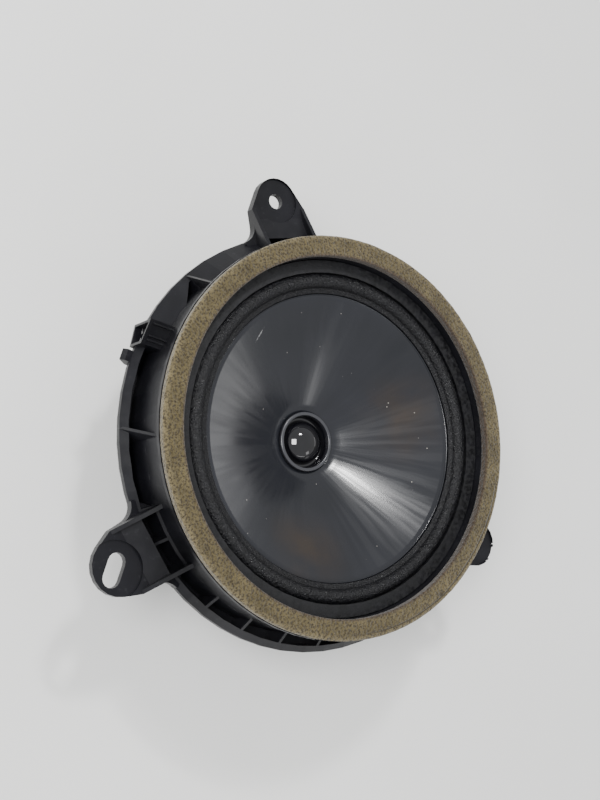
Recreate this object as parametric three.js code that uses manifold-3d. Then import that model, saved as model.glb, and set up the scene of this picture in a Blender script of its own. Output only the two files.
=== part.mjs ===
// Car door speaker (woofer) with a moulded three-ear frame.
// Millimetres. The origin is the centre of the magnet's rear face, +Z runs along the speaker axis
// out of the front, and +Y points at the upper mounting ear.
import * as THREE from 'three';
import { mergeVertices } from 'three/addons/utils/BufferGeometryUtils.js';
import Module from 'manifold-3d';

const wasm = await Module();
wasm.setup();

// ---- Facets -------------------------------------------------------------------------------
const BIG_STEPS = 56;
const MID_STEPS = 40;
const SMALL_STEPS = 30;
const ROLL_STEPS = 6;
const CORNER_STEPS = 4;
const SECTOR_DEGREES = 9;

// ---- Clearances ---------------------------------------------------------------------------
const GLUE = 0.2;
const FIT = 0.3;
const OVERCUT = 2;

// ---- Motor --------------------------------------------------------------------------------
const YOKE = { radius: 35, plate: 5, edge: 0.8 };
const MAGNET = { radius: 37.5, clear: 3.25, height: 12 };
const TOP_PLATE = { radius: 36, thickness: 5 };
const POLE_RADIUS = 12.2;
const FORMER = { wall: 0.35, gap: 0.4, tail: 0.5 };
const WINDING = { wall: 0.75, height: 10, gap: 0.45 };
const RIVET = { shank: 2, head: 3.6, head_height: 1.4, circle: 26, count: 4 };

// ---- Frame --------------------------------------------------------------------------------
const SEAT = { thickness: 3, clear: 2.25 };
const CUP = { radius: 33, wall: 2.5 };
const SPIDER_SHELF = { height: 11.1, width: 6.5 };
const BOWL_WALL = 2.5;
const LEDGE = { inner: 68.6, thickness: 3.4 };
const RIM_WALL = 2.5;
const NECK = { radius: 81.5, wall: 2.5 };
const LIP = { radius: 83.4, thickness: 2 };
const FLANGE = { radius: 88.9, back: 48, edge: 2.2, spigot: 6.5, taper: 2.7 };
const SHOULDER_TOP = 57.5;
const POCKET = { wall: 1.4, floor: 1.8 };
const RIB = 1.2;
const RIB_ROW = { first: 22.2, pitch: 12.4, right_count: 7 };
const BRACE_POCKET = { at_rim: 1.6, at_neck: 7 };
const WINDOW = { inner: 43.5, outer: 65.5, count: 6, spoke: 12 };
const BACK_RIBS = 12;

// ---- Mounting ears ------------------------------------------------------------------------
const EAR_PLATE = 4;
const EAR_WALL = 1.7;
const EAR_WALL_RISE = 10.5;
const EAR_FILLET = 7;
const RAMP_RISE = 2.6;
const BOSS_DEPTH = 0.9;
const ROUND_HOLE = { radius: 3.3, stretch: 0 };
const SLOT_HOLE = { radius: 3.7, stretch: 6.6 };
const TOP_EAR = {
  turn: 90, reach: 15.5, half: 13.2, corner: 12, tip: 16, round: 9.6, boss: 9.8,
  hole: ROUND_HOLE, lean: 0,
};
const LEFT_EAR = {
  turn: 201.3, reach: 16.7, half: 14, corner: 11.1, tip: 13.3, round: 12, boss: 11.6,
  hole: SLOT_HOLE, lean: -50,
};
const RIGHT_EAR = {
  turn: 324.5, reach: 11.1, half: 11.4, corner: 8.1, tip: 10.1, round: 10.4, boss: 9.4,
  hole: ROUND_HOLE, lean: 0,
};
// Each ear's reach, corner and tip are given past the flange's edge.
const EARS = [TOP_EAR, LEFT_EAR, RIGHT_EAR].map((ear) => ({
  ...ear,
  reach: FLANGE.radius + ear.reach,
  corner: FLANGE.radius + ear.corner,
  tip: FLANGE.radius + ear.tip,
}));

// ---- Front stack --------------------------------------------------------------------------
const MOUTH_RADIUS = 74.5;
const LIP_TOP = 74;
const LEDGE_DEPTH = 5.8;
const FOAM = { radius: 83.2, thickness: 3.8 };
const CLAMP = { width: 5.2, thickness: 1.6 };
const SURROUND = { skin: 0.7, roll: 2.7, rise: 2.7, inner_foot: 2.5 };
const CONE = { radius: 62.4, lip: 2.9, skin: 0.8, drop: 23.9, flare: 0.93 };
const COLLAR = { height: 2.4, wall: 1.5, groove: 5.5 };
const DOME = { gap: 2.85, sink: 1.9, crown: 4, skin: 0.8 };
const SPIDER = { skin: 0.6, wave: 1.1, waves: 2.5, hub: 2 };

// ---- Connector ----------------------------------------------------------------------------
// The socket faces one way round the axis and sits to one side of that line. Its top slopes.
const SOCKET = {
  turn: 157, aside: -18.1, half: 4.75, wall: 1.1, below: 1.1, above: 9.5, slope: 4.5, depth: 9,
};
const SOCKET_RAIL = { places: [-3.6, 1, 2.6], width: 0.7, rise: 0.7 };
const LATCH = { turn: 151.2, half: 2.4, over: 3.7, height: 3.2 };
const LOW_BRACE = { outer: 169.8, inner: 173.4 };
const HIGH_BRACE = { outer: 123, inner: 124.5 };
const BRACE_DROP = 3.5;
const BLADE = { width: 2, thickness: 0.8, pitch: 4, level: 3.2, inner: 51.5, sunk: 2 };
const LEAD = { radius: 0.6, gap: 0.3, landing: 2.8, sag: 5 };
const TAG = { width: 1.6, height: 2.4, thickness: 0.4 };

// ---- Levels and radii that follow from the sizes above --------------------------------------
const MAGNET_LOW = YOKE.plate + GLUE;
const MAGNET_TOP = MAGNET_LOW + MAGNET.height;
const PLATE_LOW = MAGNET_TOP + GLUE;
const PLATE_TOP = PLATE_LOW + TOP_PLATE.thickness;
const SEAT_LOW = PLATE_TOP;
const SEAT_TOP = SEAT_LOW + SEAT.thickness;
const SHELF_TOP = SEAT_LOW + SPIDER_SHELF.height;
const SHELF_RADIUS = CUP.radius + SPIDER_SHELF.width;
const LEDGE_TOP = LIP_TOP - LEDGE_DEPTH;
const LEDGE_LOW = LEDGE_TOP - LEDGE.thickness;
const SURROUND_LOW = LEDGE_TOP + GLUE;
const SURROUND_TOP = SURROUND_LOW + SURROUND.skin;
const FORMER_BORE = POLE_RADIUS + FORMER.gap;
const FORMER_RADIUS = FORMER_BORE + FORMER.wall;
const WINDING_BORE = FORMER_RADIUS + 0.05;
const WINDING_RADIUS = WINDING_BORE + WINDING.wall;
const GAP_RADIUS = WINDING_RADIUS + WINDING.gap;
const WINDING_LOW = (PLATE_LOW + PLATE_TOP - WINDING.height) / 2;
const CONE_NECK = FORMER_RADIUS + 0.25;
const CONE_EDGE_TOP = SURROUND_LOW - GLUE;
const CONE_NECK_TOP = CONE_EDGE_TOP - CONE.drop;
const FORMER_TOP = CONE_NECK_TOP + 0.1;
const COLLAR_LOW = FORMER_TOP + GLUE;
const COLLAR_TOP = COLLAR_LOW + COLLAR.height;
const FOAM_TOP = LIP_TOP + GLUE + FOAM.thickness;
const FLANGE_FRONT = FLANGE.back + FLANGE.edge;
const SPIGOT_LOW = FLANGE.back - FLANGE.spigot;
const EAR_TOP = FLANGE.back + EAR_PLATE;
const MAGNET_BORE = WINDING_RADIUS + MAGNET.clear;
const SEAT_BORE = WINDING_RADIUS + SEAT.clear;
const DOME_RADIUS = FORMER_RADIUS - COLLAR.wall - DOME.gap;
const SOCKET_REACH = FLANGE.radius;
const SOCKET_BASE = SOCKET_REACH - SOCKET.depth;
const WIRE_TURN = SOCKET.turn + THREE.MathUtils.radToDeg(Math.atan2(SOCKET.aside, SOCKET_BASE));
const BLADE_LEVEL = FLANGE.back + BLADE.level;
const LEAD_LANDING = CONE_NECK_TOP - LEAD.landing;

// ---- Materials ----------------------------------------------------------------------------
function paint(color, roughness, metalness = 0) {
  return new THREE.MeshStandardMaterial({ color, roughness, metalness });
}

const LOOKS = {
  moulded: () => paint(0x1b1c20, 0.42),
  foam: () => paint(0x8c7d5c, 0.95),
  band: () => paint(0x121214, 0.7),
  roll: () => paint(0x2a2a2e, 0.75),
  cone: () => paint(0x26272c, 0.35),
  cap: () => paint(0x0b0b0d, 0.08),
  kraft: () => paint(0x9a7443, 0.7),
  copper: () => paint(0xb06a3a, 0.35, 1),
  damper: () => paint(0xa98a4a, 0.9),
  steel: () => paint(0xa9abad, 0.35, 1),
  ferrite: () => paint(0x2b2b2d, 0.8),
  tin: () => paint(0xc6c8ca, 0.3, 1),
  braid: () => paint(0xb5855a, 0.55, 1),
};

// ---- Geometry helpers -----------------------------------------------------------------------
function turned(profile, steps) {
  const outline = profile.map(([radius, height]) => new THREE.Vector2(radius, height));
  if (THREE.ShapeUtils.area(outline) < 0) {
    outline.reverse();
  }
  const onAxis = outline.some((point) => point.x === 0);
  if (!onAxis) {
    outline.push(outline[0].clone());
  }
  return new THREE.LatheGeometry(outline, steps).rotateX(Math.PI / 2);
}

function polygon(points) {
  return new THREE.Shape(points.map(([x, y]) => new THREE.Vector2(x, y)));
}

function slab(shape, low, high, curveSegments = CORNER_STEPS) {
  const options = { depth: high - low, bevelEnabled: false, curveSegments };
  return new THREE.ExtrudeGeometry(shape, options).translate(0, 0, low);
}

function block(x0, x1, y0, y1, z0, z1) {
  return slab(polygon([[x0, y0], [x1, y0], [x1, y1], [x0, y1]]), z0, z1);
}

// A side profile drawn as (distance along X, height) and given a width across Y.
function sidePlate(points, y0, y1) {
  return slab(polygon(points), -y1, -y0).rotateX(Math.PI / 2);
}

function rod(radius, x, y, low, high, steps) {
  return turned([[0, low], [radius, low], [radius, high], [0, high]], steps).translate(x, y, 0);
}

function polar(radius, degrees) {
  const angle = THREE.MathUtils.degToRad(degrees);
  return [radius * Math.cos(angle), radius * Math.sin(angle)];
}

function facing(geometry, degrees) {
  return geometry.rotateZ(THREE.MathUtils.degToRad(degrees));
}

// ---- Booleans -------------------------------------------------------------------------------
function toSolid(geometry) {
  const bare = geometry.clone();
  bare.deleteAttribute('normal');
  bare.deleteAttribute('uv');
  const merged = mergeVertices(bare, 1e-4);
  const index = merged.index.array;
  const triangles = [];
  for (let i = 0; i < index.length; i += 3) {
    const [a, b, c] = [index[i], index[i + 1], index[i + 2]];
    if (a !== b && b !== c && c !== a) {
      triangles.push(a, b, c);
    }
  }
  const mesh = new wasm.Mesh({
    numProp: 3,
    vertProperties: merged.attributes.position.array,
    triVerts: new Uint32Array(triangles),
  });
  return new wasm.Manifold(mesh);
}

function fromSolid(solid) {
  const mesh = solid.getMesh();
  const geometry = new THREE.BufferGeometry();
  geometry.setAttribute('position', new THREE.BufferAttribute(mesh.vertProperties, 3));
  geometry.setIndex(new THREE.BufferAttribute(mesh.triVerts, 1));
  geometry.computeVertexNormals();
  return geometry;
}

function joined(geometries) {
  return geometries.map(toSolid).reduce((sum, solid) => sum.add(solid));
}

// ---- Frame ----------------------------------------------------------------------------------
function bowlSlope() {
  return (LEDGE_LOW - SHELF_TOP) / (LEDGE.inner - SHELF_RADIUS);
}

function frameBody() {
  const lean = Math.atan(bowlSlope());
  const out = BOWL_WALL * Math.sin(lean);
  const down = BOWL_WALL * Math.cos(lean);
  const rimOuter = MOUTH_RADIUS + RIM_WALL;
  const neckInner = NECK.radius - NECK.wall;
  const web = LIP_TOP - LIP.thickness;
  return turned([
    [SEAT_BORE, SEAT_LOW],
    [CUP.radius + CUP.wall, SEAT_LOW],
    [CUP.radius + CUP.wall, SHELF_TOP - down - 0.5],
    [SHELF_RADIUS + out, SHELF_TOP - down],
    [LEDGE.inner + out, LEDGE_LOW - down],
    [rimOuter, LEDGE_LOW],
    [rimOuter, web],
    [neckInner, web],
    [neckInner, SPIGOT_LOW],
    [FLANGE.radius - FLANGE.taper, SPIGOT_LOW],
    [FLANGE.radius, FLANGE.back],
    [FLANGE.radius, FLANGE_FRONT],
    [NECK.radius, SHOULDER_TOP],
    [NECK.radius, web - 0.5],
    [LIP.radius, web],
    [LIP.radius, LIP_TOP],
    [MOUTH_RADIUS, LIP_TOP],
    [MOUTH_RADIUS, LEDGE_TOP],
    [LEDGE.inner, LEDGE_TOP],
    [LEDGE.inner, LEDGE_LOW],
    [SHELF_RADIUS, SHELF_TOP],
    [CUP.radius, SHELF_TOP],
    [CUP.radius, SEAT_TOP],
    [SEAT_BORE, SEAT_TOP],
  ], BIG_STEPS);
}

// A block that fills an arc of a ring, from one angle to another in degrees.
function ringSector(inner, outer, from, to, low, high) {
  const start = THREE.MathUtils.degToRad(from);
  const end = THREE.MathUtils.degToRad(to);
  const shape = new THREE.Shape();
  shape.absarc(0, 0, outer, start, end, false);
  shape.absarc(0, 0, inner, end, start, true);
  return slab(shape, low, high, Math.ceil((to - from) / SECTOR_DEGREES / 2));
}

// Angle in degrees that a width takes up at the pocket's middle radius.
function spread(width) {
  return THREE.MathUtils.radToDeg(width / ((NECK.radius + FLANGE.radius) / 2));
}

// Pockets open to the front between the neck and the flange edge, parted by thin ribs.
function pocketRow(from, to, count) {
  const step = (to - from) / count;
  const half = spread(RIB) / 2;
  const outer = FLANGE.radius - POCKET.wall - FLANGE.taper / 2;
  const cuts = [];
  for (let i = 0; i < count; i += 1) {
    const start = from + i * step + half;
    const end = from + (i + 1) * step - half;
    cuts.push(ringSector(NECK.radius, outer, start, end, SPIGOT_LOW + POCKET.floor, SHOULDER_TOP + OVERCUT));
  }
  return cuts;
}

function earSpread(ear) {
  return THREE.MathUtils.radToDeg(Math.asin(ear.half / ((NECK.radius + FLANGE.radius) / 2)));
}

function pockets() {
  const [top, left, right] = EARS;
  const firstRib = left.turn + RIB_ROW.first;
  const ribs = Math.floor((right.turn - earSpread(right) - firstRib) / RIB_ROW.pitch);
  const lastRib = firstRib + ribs * RIB_ROW.pitch;
  return [
    ...pocketRow(WIRE_TURN, left.turn - earSpread(left), 1),
    ...pocketRow(left.turn + earSpread(left), firstRib, 1),
    ...pocketRow(firstRib, lastRib, ribs),
    ...pocketRow(right.turn + earSpread(right), 360 + top.turn - earSpread(top), RIB_ROW.right_count),
    bracePocket(),
  ];
}

// A three-cornered pocket tucked under the upper brace.
function bracePocket() {
  const rim = FLANGE.radius - POCKET.wall - FLANGE.taper / 2;
  const corners = [
    polar(rim, HIGH_BRACE.outer + spread(RIB)),
    polar(rim, HIGH_BRACE.outer + BRACE_POCKET.at_rim),
    polar(NECK.radius, HIGH_BRACE.inner + BRACE_POCKET.at_neck),
    polar(NECK.radius, HIGH_BRACE.inner + spread(RIB) / 2),
  ];
  return slab(polygon(corners), SPIGOT_LOW + POCKET.floor, SHOULDER_TOP + OVERCUT);
}

// Sector windows through the sloping bowl leave flat spokes, one of them under the wires.
function windows() {
  const step = 360 / WINDOW.count;
  const middle = (WINDOW.inner + WINDOW.outer) / 2;
  const half = THREE.MathUtils.radToDeg(WINDOW.spoke / middle) / 2;
  const cuts = [];
  for (let i = 0; i < WINDOW.count; i += 1) {
    const start = WIRE_TURN + i * step + half;
    const end = WIRE_TURN + (i + 1) * step - half;
    cuts.push(ringSector(WINDOW.inner, WINDOW.outer, start, end, SEAT_LOW, LEDGE_LOW));
  }
  return cuts;
}

// Radial webs that brace the neck against the rim from behind.
function backRibs() {
  const ribs = [];
  for (let i = 0; i < BACK_RIBS; i += 1) {
    const inner = LEDGE.inner + 1;
    const outer = NECK.radius - NECK.wall / 2;
    const plate = sidePlate([
      [inner, LEDGE_LOW + 1],
      [inner, LEDGE_LOW - 1],
      [outer, SHOULDER_TOP - 4],
      [outer, LIP_TOP - 1],
      [MOUTH_RADIUS + 1, LIP_TOP - 1],
      [MOUTH_RADIUS + 1, LEDGE_LOW + 1],
    ], -RIB / 2, RIB / 2);
    ribs.push(facing(plate, (i + 0.5) * 360 / BACK_RIBS));
  }
  return ribs;
}

// A slanted brace from the flange edge up the neck, at the ends of the connector's bay.
function bayBrace(brace) {
  const outer = new THREE.Vector2(...polar(FLANGE.radius - 0.4, brace.outer));
  const inner = new THREE.Vector2(...polar(NECK.radius - 1, brace.inner));
  const along = outer.clone().sub(inner);
  const plate = sidePlate([
    [0, SPIGOT_LOW + 1],
    [along.length(), FLANGE.back + 0.5],
    [along.length(), FLANGE_FRONT],
    [0, LIP_TOP - BRACE_DROP],
  ], -RIB / 2, RIB / 2);
  return plate.rotateZ(along.angle()).translate(inner.x, inner.y, 0);
}

// ---- Ears, drawn along +X and then turned into place -------------------------------------------
function earOutline(ear) {
  const centre = ear.half + EAR_FILLET;
  const far = Math.sqrt((FLANGE.radius + EAR_FILLET) ** 2 - centre ** 2);
  const lean = Math.atan2(centre, far);
  const flank = Math.hypot(ear.corner - ear.tip, ear.half);
  const bend = Math.atan2(ear.half, ear.corner - ear.tip) - Math.acos(ear.round / flank);
  const shape = new THREE.Shape();
  shape.moveTo(NECK.radius - 1, -ear.half);
  shape.lineTo(FLANGE.radius * Math.cos(lean) - 1, -FLANGE.radius * Math.sin(lean));
  shape.absarc(far, -centre, EAR_FILLET, Math.PI - lean, Math.PI / 2, true);
  shape.lineTo(ear.corner, -ear.half);
  shape.absarc(ear.tip, 0, ear.round, -bend, bend, false);
  shape.lineTo(ear.corner, ear.half);
  shape.absarc(far, centre, EAR_FILLET, -Math.PI / 2, -Math.PI + lean, true);
  shape.lineTo(FLANGE.radius * Math.cos(lean) - 1, FLANGE.radius * Math.sin(lean));
  shape.lineTo(NECK.radius - 1, ear.half);
  return shape;
}

function earWall(ear, side) {
  const outer = side * ear.half;
  const inner = side * (ear.half - EAR_WALL);
  const start = Math.sqrt(NECK.radius ** 2 - ear.half ** 2) - 1;
  return sidePlate([
    [start, SPIGOT_LOW + POCKET.floor - 1],
    [FLANGE.radius - POCKET.wall - FLANGE.taper, SPIGOT_LOW + POCKET.floor - 1],
    [FLANGE.radius, FLANGE.back],
    [ear.corner, FLANGE.back],
    [ear.corner, EAR_TOP + 0.2],
    [start, EAR_TOP + EAR_WALL_RISE],
  ], Math.min(outer, inner), Math.max(outer, inner));
}

function earRamp(ear) {
  const edge = FLANGE.radius - POCKET.wall;
  const width = ear.half - EAR_WALL / 2;
  const foot = ear.reach - ear.boss + 2;
  return sidePlate([
    [edge, FLANGE.back],
    [foot, FLANGE.back],
    [foot, EAR_TOP],
    [edge, EAR_TOP + RAMP_RISE],
  ], -width, width);
}

function earTroughRib() {
  return sidePlate([
    [NECK.radius - 1, SPIGOT_LOW + 1],
    [FLANGE.radius - 1, FLANGE.back],
    [FLANGE.radius - 1, FLANGE_FRONT + 2.5],
    [NECK.radius - 1, FLANGE_FRONT + 3.5],
  ], -RIB / 2, RIB / 2);
}

function earHole(ear) {
  const { radius, stretch } = ear.hole;
  const shape = new THREE.Shape();
  shape.absarc(0, stretch / 2, radius, 0, Math.PI, false);
  shape.absarc(0, -stretch / 2, radius, Math.PI, 2 * Math.PI, false);
  const cut = slab(shape, FLANGE.back - OVERCUT, EAR_TOP + OVERCUT);
  return facing(cut, ear.lean).translate(ear.reach, 0, 0);
}

function earSolid(ear) {
  const plate = slab(earOutline(ear), FLANGE.back, EAR_TOP);
  const parts = [plate, earRamp(ear), earWall(ear, 1), earWall(ear, -1), earTroughRib()];
  return joined(parts);
}

function earCuts(ear) {
  const edge = FLANGE.radius - POCKET.wall;
  const width = ear.half - EAR_WALL;
  const rib = RIB / 2;
  const low = SPIGOT_LOW + POCKET.floor;
  const high = EAR_TOP + RAMP_RISE + OVERCUT;
  const boss = rod(ear.boss, ear.reach, 0, EAR_TOP - BOSS_DEPTH, high, MID_STEPS);
  const bays = [[rib, width], [-width, -rib]].map(([y0, y1]) => {
    const inner = toSolid(block(NECK.radius - 6, edge, y0, y1, low, high));
    const neck = toSolid(rod(NECK.radius, 0, 0, low - 1, high + 1, BIG_STEPS));
    const spigot = toSolid(spigotCore(low, high));
    return inner.subtract(neck).intersect(spigot);
  });
  return [toSolid(boss), toSolid(earHole(ear)), ...bays];
}

// The volume inside the flange's tapered outer wall, which every pocket stays within.
function spigotCore(low, high) {
  const taper = FLANGE.radius - FLANGE.taper - POCKET.wall;
  return turned([
    [0, low],
    [taper, low],
    [FLANGE.radius, FLANGE.back + 0.5],
    [FLANGE.radius, high],
    [0, high],
  ], BIG_STEPS);
}

// ---- Connector socket, drawn facing +X -----------------------------------------------------------
function socketTopAt(y) {
  const share = (SOCKET.aside + SOCKET.half - y) / (2 * SOCKET.half);
  return FLANGE.back + SOCKET.above + SOCKET.slope * share;
}

// The socket's outline seen from its mouth, pulled in by a margin, as a bar along X.
function socketBar(margin, x0, x1) {
  const near = SOCKET.aside - SOCKET.half + margin;
  const far = SOCKET.aside + SOCKET.half - margin;
  const low = FLANGE.back - SOCKET.below + margin;
  return sidePlate([
    [near, low],
    [far, low],
    [far, socketTopAt(far) - margin],
    [near, socketTopAt(near) - margin],
  ], -x1, -x0).rotateZ(Math.PI / 2);
}

function socketShell() {
  const inner = NECK.radius - 2 * NECK.wall - OVERCUT;
  const shell = socketBar(0, inner, SOCKET_REACH);
  const rails = SOCKET_RAIL.places.map((place) => {
    const y = SOCKET.aside + place;
    const top = socketTopAt(y) + SOCKET_RAIL.rise;
    const low = top - 2 * SOCKET_RAIL.rise - 0.5;
    return block(inner, SOCKET_REACH - 1.5, y, y + SOCKET_RAIL.width, low, top);
  });
  const neck = rod(NECK.radius - NECK.wall / 2, 0, 0, 0, FOAM_TOP, BIG_STEPS);
  return joined([shell, ...rails]).subtract(toSolid(neck)).rotate([0, 0, SOCKET.turn]);
}

function latchGeometry() {
  const reach = FLANGE.radius + LATCH.over;
  const hook = sidePlate([
    [FLANGE.radius - 4, FLANGE.back - LATCH.height],
    [FLANGE.radius, FLANGE.back - LATCH.height],
    [reach, FLANGE.back],
    [reach - 1.5, FLANGE_FRONT],
    [FLANGE.radius - 4, FLANGE_FRONT],
  ], -LATCH.half, LATCH.half);
  return facing(hook, LATCH.turn);
}

function socketCavity() {
  return facing(socketBar(SOCKET.wall, SOCKET_BASE, SOCKET_REACH + OVERCUT), SOCKET.turn);
}

// One blade seen from the front: inwards along a spoke, then bent to run out along the socket.
function bladeOutline(side, margin) {
  const turn = THREE.MathUtils.degToRad(SOCKET.turn);
  const centre = new THREE.Vector2();
  const wire = new THREE.Vector2(...polar(1, WIRE_TURN));
  const bend = new THREE.Vector2(SOCKET_BASE, SOCKET.aside).rotateAround(centre, turn);
  const tip = new THREE.Vector2(SOCKET_REACH - BLADE.sunk + margin, SOCKET.aside);
  tip.rotateAround(centre, turn);
  const line = [wire.clone().multiplyScalar(BLADE.inner - margin), bend, tip];
  const out = tip.clone().sub(bend).normalize();
  const ways = [wire, wire.clone().add(out).normalize(), out];
  const half = BLADE.width / 2 + margin;
  const edge = (shift) => line.map((point, i) => {
    return [point.x - ways[i].y * shift, point.y + ways[i].x * shift];
  });
  const middle = side * BLADE.pitch / 2;
  return polygon([...edge(middle - half), ...edge(middle + half).reverse()]);
}

// Where the terminal blades pass through the frame.
function bladePassage(side) {
  const lift = BLADE.thickness / 2 + FIT;
  return slab(bladeOutline(side, FIT), BLADE_LEVEL - lift, BLADE_LEVEL + lift);
}

function rivetSpots() {
  const spots = [];
  for (let i = 0; i < RIVET.count; i += 1) {
    const angle = (i + 0.5) * 2 * Math.PI / RIVET.count;
    spots.push([RIVET.circle * Math.cos(angle), RIVET.circle * Math.sin(angle)]);
  }
  return spots;
}

function rivetHoles() {
  return rivetSpots().map(([x, y]) => {
    return rod(RIVET.shank + FIT, x, y, PLATE_LOW - OVERCUT, SEAT_TOP + 1, 16);
  });
}

function frameGeometry() {
  let frame = toSolid(frameBody());
  backRibs().forEach((rib) => { frame = frame.add(toSolid(rib)); });
  [...windows(), ...pockets()].forEach((cut) => { frame = frame.subtract(toSolid(cut)); });
  EARS.forEach((ear) => {
    const turn = [0, 0, ear.turn];
    frame = frame.add(earSolid(ear).rotate(turn));
    earCuts(ear).forEach((cut) => { frame = frame.subtract(cut.rotate(turn)); });
  });
  [LOW_BRACE, HIGH_BRACE].forEach((brace) => { frame = frame.add(toSolid(bayBrace(brace))); });
  frame = frame.add(socketShell()).add(toSolid(latchGeometry()));
  frame = frame.subtract(toSolid(socketCavity()));
  [-1, 1].forEach((side) => { frame = frame.subtract(toSolid(bladePassage(side))); });
  rivetHoles().forEach((hole) => { frame = frame.subtract(toSolid(hole)); });
  return fromSolid(frame);
}

// ---- Motor pieces -----------------------------------------------------------------------------
function yokeGeometry() {
  const { radius, plate, edge } = YOKE;
  return turned([
    [0, 0],
    [radius - edge, 0],
    [radius, edge],
    [radius, plate - edge],
    [radius - edge, plate],
    [POLE_RADIUS, plate],
    [POLE_RADIUS, PLATE_TOP - edge],
    [POLE_RADIUS - edge, PLATE_TOP],
    [0, PLATE_TOP],
  ], SMALL_STEPS);
}

function ringGeometry(inner, outer, low, high, steps) {
  return turned([[inner, low], [outer, low], [outer, high], [inner, high]], steps);
}

function topPlateGeometry() {
  const ring = ringGeometry(GAP_RADIUS, TOP_PLATE.radius, PLATE_LOW, PLATE_TOP, SMALL_STEPS);
  let plate = toSolid(ring);
  rivetHoles().forEach((hole) => { plate = plate.subtract(toSolid(hole)); });
  return fromSolid(plate);
}

function rivetGeometry() {
  return turned([
    [0, PLATE_LOW + FIT],
    [RIVET.shank, PLATE_LOW + FIT],
    [RIVET.shank, SEAT_TOP],
    [RIVET.head, SEAT_TOP],
    [RIVET.head * 0.7, SEAT_TOP + RIVET.head_height],
    [0, SEAT_TOP + RIVET.head_height],
  ], 12);
}

// ---- Moving pieces --------------------------------------------------------------------------------
function formerGeometry() {
  const low = WINDING_LOW - FORMER.tail;
  return ringGeometry(FORMER_BORE, FORMER_RADIUS, low, FORMER_TOP, SMALL_STEPS);
}

function windingGeometry() {
  const high = WINDING_LOW + WINDING.height;
  return ringGeometry(WINDING_BORE, WINDING_RADIUS, WINDING_LOW, high, SMALL_STEPS);
}

function coneHeight(share) {
  return CONE_NECK_TOP + CONE.drop * share ** CONE.flare;
}

function coneGeometry() {
  const edge = CONE.radius - CONE.lip;
  const shares = [0, 0.08, 0.2, 0.4, 0.6, 0.8, 1];
  const top = shares.map((share) => [CONE_NECK + share * (edge - CONE_NECK), coneHeight(share)]);
  const bottom = top.map(([radius, height]) => [radius + 0.2, height - CONE.skin]);
  bottom[0][0] = CONE_NECK;
  return turned([
    ...top,
    [CONE.radius, CONE_EDGE_TOP],
    [CONE.radius, CONE_EDGE_TOP - CONE.skin],
    ...bottom.reverse(),
  ], MID_STEPS);
}

// Points on a ball from its top on the axis out to a given radius.
function capArc(ball, middle, radius) {
  const reach = Math.asin(radius / ball);
  const points = [];
  for (let i = 0; i <= ROLL_STEPS; i += 1) {
    const angle = reach * i / ROLL_STEPS;
    points.push([ball * Math.sin(angle), middle + ball * Math.cos(angle)]);
  }
  return points;
}

function capGeometry() {
  const outer = FORMER_RADIUS;
  const grooveLow = COLLAR_TOP - COLLAR.groove;
  const collarBore = outer - COLLAR.wall;
  const skirt = FORMER_BORE - 0.15;
  const domeEdge = COLLAR_TOP - DOME.sink;
  const ball = (DOME_RADIUS ** 2 + DOME.crown ** 2) / (2 * DOME.crown);
  const middle = domeEdge + DOME.crown - ball;
  const domeTop = capArc(ball, middle, DOME_RADIUS);
  const domeUnder = capArc(ball - DOME.skin, middle, DOME_RADIUS - DOME.skin);
  return turned([
    ...domeTop,
    [DOME_RADIUS, grooveLow],
    [collarBore - 0.5, grooveLow],
    [collarBore, COLLAR_TOP - 0.5],
    [collarBore + 0.4, COLLAR_TOP],
    [outer - 0.4, COLLAR_TOP],
    [outer, COLLAR_TOP - 0.5],
    [outer, COLLAR_LOW],
    [skirt, COLLAR_LOW],
    [skirt, grooveLow - DOME.skin],
    [DOME_RADIUS - DOME.skin, grooveLow - DOME.skin],
    ...domeUnder.reverse(),
  ], SMALL_STEPS);
}

function rollPoint(middle, angle, offset) {
  const run = (SURROUND.roll + offset) * Math.cos(angle);
  const rise = (SURROUND.rise + offset) * Math.sin(angle);
  return [middle - run, SURROUND_LOW + SURROUND.skin / 2 + rise];
}

function surroundGeometry() {
  const inner = CONE.radius - SURROUND.inner_foot + 0.5;
  const half = SURROUND.skin / 2;
  const middle = CONE.radius + 0.5 + SURROUND.roll;
  const outer = MOUTH_RADIUS - 2 * FIT;
  const over = [];
  const under = [];
  for (let i = 0; i <= ROLL_STEPS; i += 1) {
    const angle = i * Math.PI / (ROLL_STEPS);
    over.push(rollPoint(middle, angle, half));
    under.push(rollPoint(middle, angle, -half));
  }
  [over[0], over.at(-1)].forEach((point) => { point[1] = SURROUND_TOP; });
  [under[0], under.at(-1)].forEach((point) => { point[1] = SURROUND_LOW; });
  return turned([
    [inner, SURROUND_LOW],
    [inner, SURROUND_TOP],
    ...over,
    [outer, SURROUND_TOP],
    [outer, SURROUND_LOW],
    ...under.reverse(),
  ], MID_STEPS);
}

function spiderGeometry() {
  const hub = FORMER_RADIUS + GLUE;
  const waveStart = hub + SPIDER.hub;
  const waveEnd = CUP.radius - 0.5;
  const outer = SHELF_RADIUS - 2 * FIT;
  const low = SHELF_TOP + GLUE;
  const count = SPIDER.waves * 4;
  const over = [];
  const under = [];
  for (let i = 0; i <= count; i += 1) {
    const radius = waveStart + (waveEnd - waveStart) * i / count;
    const lift = SPIDER.wave * Math.sin(i * Math.PI / 2);
    over.push([radius, low + SPIDER.skin + lift]);
    under.push([radius, low + lift]);
  }
  return turned([
    [hub, low],
    [hub, low + SPIDER.skin],
    ...over,
    [outer, low + SPIDER.skin],
    [outer, low],
    ...under.reverse(),
  ], SMALL_STEPS);
}

// ---- Wiring ---------------------------------------------------------------------------------------
function bladeGeometry(side) {
  const lift = BLADE.thickness / 2;
  return slab(bladeOutline(side, 0), BLADE_LEVEL - lift, BLADE_LEVEL + lift);
}

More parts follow.
